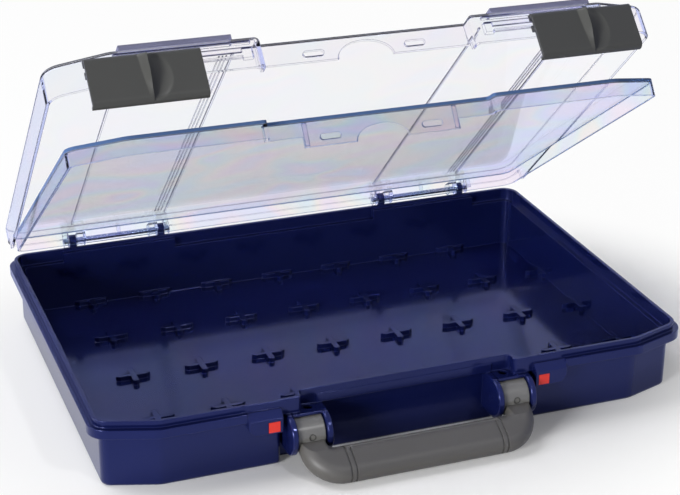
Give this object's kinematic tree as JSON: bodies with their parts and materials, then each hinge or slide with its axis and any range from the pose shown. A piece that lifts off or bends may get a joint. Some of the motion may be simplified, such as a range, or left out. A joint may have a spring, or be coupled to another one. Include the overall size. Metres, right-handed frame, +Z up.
{
  "type": "carry case",
  "caption": "Shallow moulded carry case with a gridded tray, two clear hinged lids, slide latches and a swing handle",
  "frame": {"origin": "centre of the tray's cell grid, on the underside of the tray floor", "axes": "+X along the long side, right as seen from the handle; +Y from the handle to the hinge; +Z up"},
  "size_m": [0.3284, 0.2571, 0.2066],
  "materials": {
    "navy_plastic": "satin moulded, navy blue",
    "clear_plastic": "polished, clear",
    "dark_grey_plastic": "fine satin, dark grey",
    "grey_plastic": "fine satin, mid grey",
    "soft_grey_plastic": "soft touch, dark grey",
    "navy_pin": "moulded pin, navy",
    "steel_pin": "drawn wire",
    "red_plastic": "moulded, signal red"
  },
  "bodies": {
    "case": {"tray": "navy_plastic", "handle_pin_left": "navy_pin", "handle_pin_right": "navy_pin", "hinge_pin_left": "steel_pin", "hinge_pin_right": "steel_pin", "indicator_left": "red_plastic", "indicator_right": "red_plastic"},
    "inner_lid": {"inner_lid": "clear_plastic"},
    "outer_lid": {"outer_lid": "clear_plastic"},
    "latch_left": {"latch_left": "dark_grey_plastic"},
    "latch_right": {"latch_right": "dark_grey_plastic"},
    "handle": {"handle_frame": "grey_plastic", "handle_cover": "soft_grey_plastic", "handle_rivet_left": "grey_plastic", "handle_rivet_right": "grey_plastic"}
  },
  "joints": [
    {"name": "inner_lid_hinge", "type": "hinge", "parent": "case", "child": "inner_lid", "pos_m": [0, 0.1085, 0.041], "axis": [-1, 0, 0], "range_deg": [-34.6, 55.4]},
    {"name": "outer_lid_hinge", "type": "hinge", "parent": "inner_lid", "child": "outer_lid", "pos_m": [0, 0.1085, 0.041], "axis": [-1, 0, 0], "range_deg": [-9.8, 80.2]},
    {"name": "latch_left_slide", "type": "slide", "parent": "outer_lid", "child": "latch_left", "axis": [1, 0, 0], "range_m": [0, 0.021]},
    {"name": "latch_right_slide", "type": "slide", "parent": "outer_lid", "child": "latch_right", "axis": [-1, 0, 0], "range_m": [0, 0.021]},
    {"name": "handle_hinge", "type": "hinge", "parent": "case", "child": "handle", "pos_m": [0, -0.1134, 0.0192], "axis": [-1, 0, 0], "range_deg": [0, 82]}
  ]
}
